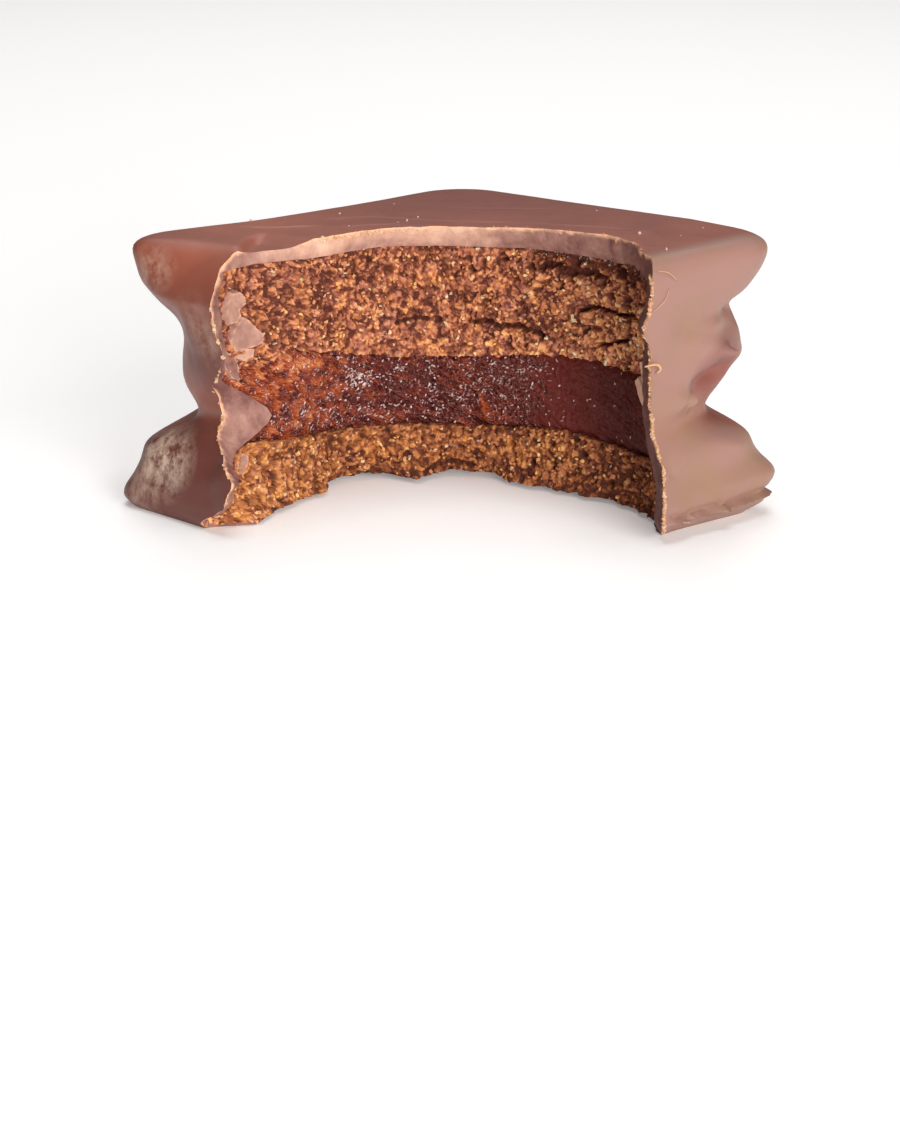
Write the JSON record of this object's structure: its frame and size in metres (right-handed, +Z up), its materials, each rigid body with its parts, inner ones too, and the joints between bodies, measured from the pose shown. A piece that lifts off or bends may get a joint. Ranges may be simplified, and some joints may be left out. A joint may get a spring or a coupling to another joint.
{
  "type": "alfajor cookie",
  "caption": "Square chocolate-coated sandwich biscuit with a milk caramel layer, one corner bitten off to show the layers inside.",
  "frame": {"origin": "on the base, below the middle of the whole, unbitten biscuit", "axes": "+Z up through the layers, the sides along X and Y, the bitten corner towards +X -Y"},
  "size_m": [0.0542, 0.0539, 0.0317],
  "materials": {
    "milk_chocolate": "satin set milk chocolate, paler and matt where it broke",
    "cocoa_biscuit": "coarse dry crumb, golden grains between dark ones",
    "dulce_de_leche": "wet glossy caramel, finely granular where bitten"
  },
  "bodies": {
    "root": {"chocolate_coat": "milk_chocolate", "top_biscuit": "cocoa_biscuit", "filling": "dulce_de_leche", "bottom_biscuit": "cocoa_biscuit"}
  },
  "joints": []
}
